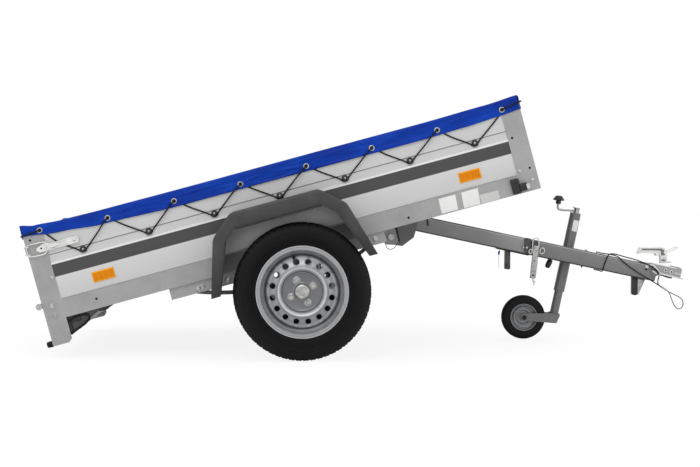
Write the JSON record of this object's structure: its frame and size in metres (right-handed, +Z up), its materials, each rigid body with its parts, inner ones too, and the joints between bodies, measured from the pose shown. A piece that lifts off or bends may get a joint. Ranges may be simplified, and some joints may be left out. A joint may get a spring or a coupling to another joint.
{
  "type": "tipping utility trailer",
  "caption": "Small single-axle garden trailer with a sheeted box tipped to the rear, hinged drawbar, ball coupling and jockey wheel.",
  "frame": {"origin": "on the ground under the middle of the overall length and width", "axes": "+X forward to the coupling, +Y to the trailer's left, +Z up"},
  "size_m": [2.8072, 1.55, 1.0401],
  "materials": {
    "tyre": "matt rubber",
    "galvanised": "hot-dip galvanised",
    "zinc": "bright zinc",
    "drawbar_steel": "grey zinc",
    "leaf_steel": "black paint",
    "aluminium": "anodised",
    "rim_paint": "silver paint",
    "plywood": "coated plywood",
    "black_plastic": "moulded",
    "red_lens": "clear red",
    "amber_lens": "clear amber",
    "plate_white": "blank white",
    "black_rubber": "matt",
    "cable_steel": "bright wire",
    "tarpaulin": "coated blue cloth"
  },
  "bodies": {
    "chassis": {"side_rail_right": "galvanised", "side_rail_left": "galvanised", "cross_members": "galvanised", "floor_panel": "plywood", "side_wall_right": "aluminium", "side_wall_left": "aluminium", "front_wall": "aluminium", "front_posts": "galvanised", "rear_posts": "galvanised", "light_bar": "galvanised", "tail_lamps": "black_plastic", "lamp_lenses": "red_lens", "number_plate": "plate_white", "foot_buffers": "black_rubber", "side_reflectors": "amber_lens", "marker_lamps": "black_plastic", "mudguard_right": "black_plastic", "mudguard_left": "black_plastic", "suspension_beams": "galvanised", "leaf_springs": "leaf_steel", "axle_beam": "galvanised", "box_brackets": "galvanised", "tilt_pin": "zinc", "tarp": "tarpaulin", "lacing_knobs": "black_plastic", "lacing_cord": "black_rubber", "tailgate_latches": "zinc", "gate_hinges": "galvanised"},
    "wheel_right": {"tyre_right": "tyre", "rim_right": "rim_paint", "hub_right": "zinc"},
    "wheel_left": {"tyre_left": "tyre", "rim_left": "rim_paint", "hub_left": "zinc"},
    "tailgate": {"tailgate": "aluminium", "gate_fittings": "zinc", "tarp_flap": "tarpaulin"},
    "drawbar": {"drawbar_tube": "drawbar_steel", "pivot_plates": "drawbar_steel", "coupling_head": "zinc", "coupling_handle": "zinc", "lock_clamp": "galvanised", "bar_brackets": "galvanised", "jockey_clamp": "galvanised", "jockey_outer_tube": "galvanised", "jockey_crank": "black_plastic", "safety_cable": "black_rubber", "cable_ferrule": "zinc", "cable_loop": "cable_steel"},
    "jockey_leg": {"jockey_inner_tube": "galvanised"},
    "jockey_fork": {"jockey_fork": "galvanised"},
    "jockey_wheel": {"jockey_tyre": "tyre", "jockey_rim": "leaf_steel"}
  },
  "joints": [
    {"name": "wheel_right_spin", "type": "hinge", "parent": "chassis", "child": "wheel_right", "pos_m": [-0.28611, -0.672, 0.272], "axis": [0, 1, 0], "continuous": true},
    {"name": "wheel_left_spin", "type": "hinge", "parent": "chassis", "child": "wheel_left", "pos_m": [-0.28611, 0.672, 0.272], "axis": [0, 1, 0], "continuous": true},
    {"name": "tailgate_hinge", "type": "hinge", "parent": "chassis", "child": "tailgate", "pos_m": [-1.33158, 0, 0.20431], "axis": [0, -1, 0], "range_deg": [0, 175]},
    {"name": "tilt_hinge", "type": "hinge", "parent": "chassis", "child": "drawbar", "pos_m": [0.10723, 0, 0.46099], "axis": [0, -1, 0], "range_deg": [0, 27.1]},
    {"name": "jockey_slide", "type": "slide", "parent": "drawbar", "child": "jockey_leg", "axis": [0.2079, 0, 0.9781], "range_m": [-0.13, 0.088]},
    {"name": "jockey_swivel", "type": "hinge", "parent": "jockey_leg", "child": "jockey_fork", "pos_m": [0.84405, 0.076, 0.09889], "axis": [0.2079, 0, 0.9781], "continuous": true},
    {"name": "jockey_spin", "type": "hinge", "parent": "jockey_fork", "child": "jockey_wheel", "pos_m": [0.70778, 0.076, 0.0975], "axis": [0, 1, 0], "continuous": true}
  ]
}
